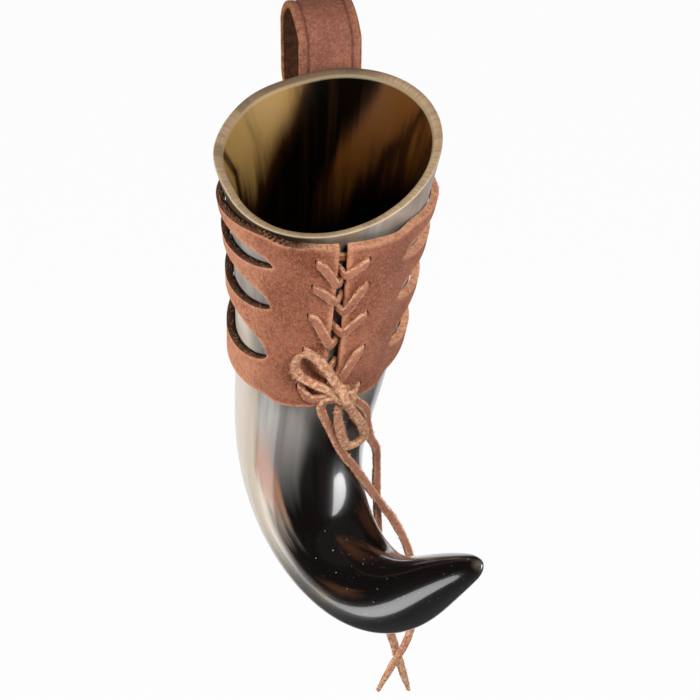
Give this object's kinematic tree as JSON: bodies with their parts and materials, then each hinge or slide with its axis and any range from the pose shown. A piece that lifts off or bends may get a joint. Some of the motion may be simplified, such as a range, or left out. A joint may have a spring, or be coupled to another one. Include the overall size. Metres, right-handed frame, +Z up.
{
  "type": "drinking horn in belt holster",
  "caption": "Curved drinking horn with a hollow cup, held in a laced leather sleeve with crescent cut-outs and a riveted belt loop behind the mouth.",
  "frame": {"origin": "middle of the belt slot, inside the loop behind the mouth", "axes": "+Z up, the lacing faces -Y, the belt passes through the loop along X"},
  "size_m": [0.0817, 0.1448, 0.2873],
  "materials": {
    "polished_horn": "polished",
    "sleeve_leather": "oiled, raw edges",
    "lace_leather": "rough split lace",
    "rivet_brass": "satin, aged"
  },
  "bodies": {
    "holster": {"leather_sleeve": "sleeve_leather", "belt_loop": "sleeve_leather", "rivet_posts": "rivet_brass", "rivet_caps": "rivet_brass", "front_lacing": "lace_leather", "bow_knot": "lace_leather", "bow_loop_upper": "lace_leather", "bow_loop_lower": "lace_leather", "lace_tail_left": "lace_leather", "lace_tail_right": "lace_leather"},
    "horn": {"horn": "polished_horn"}
  },
  "joints": [
    {"name": "horn_draw", "type": "slide", "parent": "holster", "child": "horn", "axis": [0.0539, -0.1035, 0.9932], "range_m": [0, 0.035], "deforming": ["lace_tail_left", "lace_tail_right"]}
  ]
}
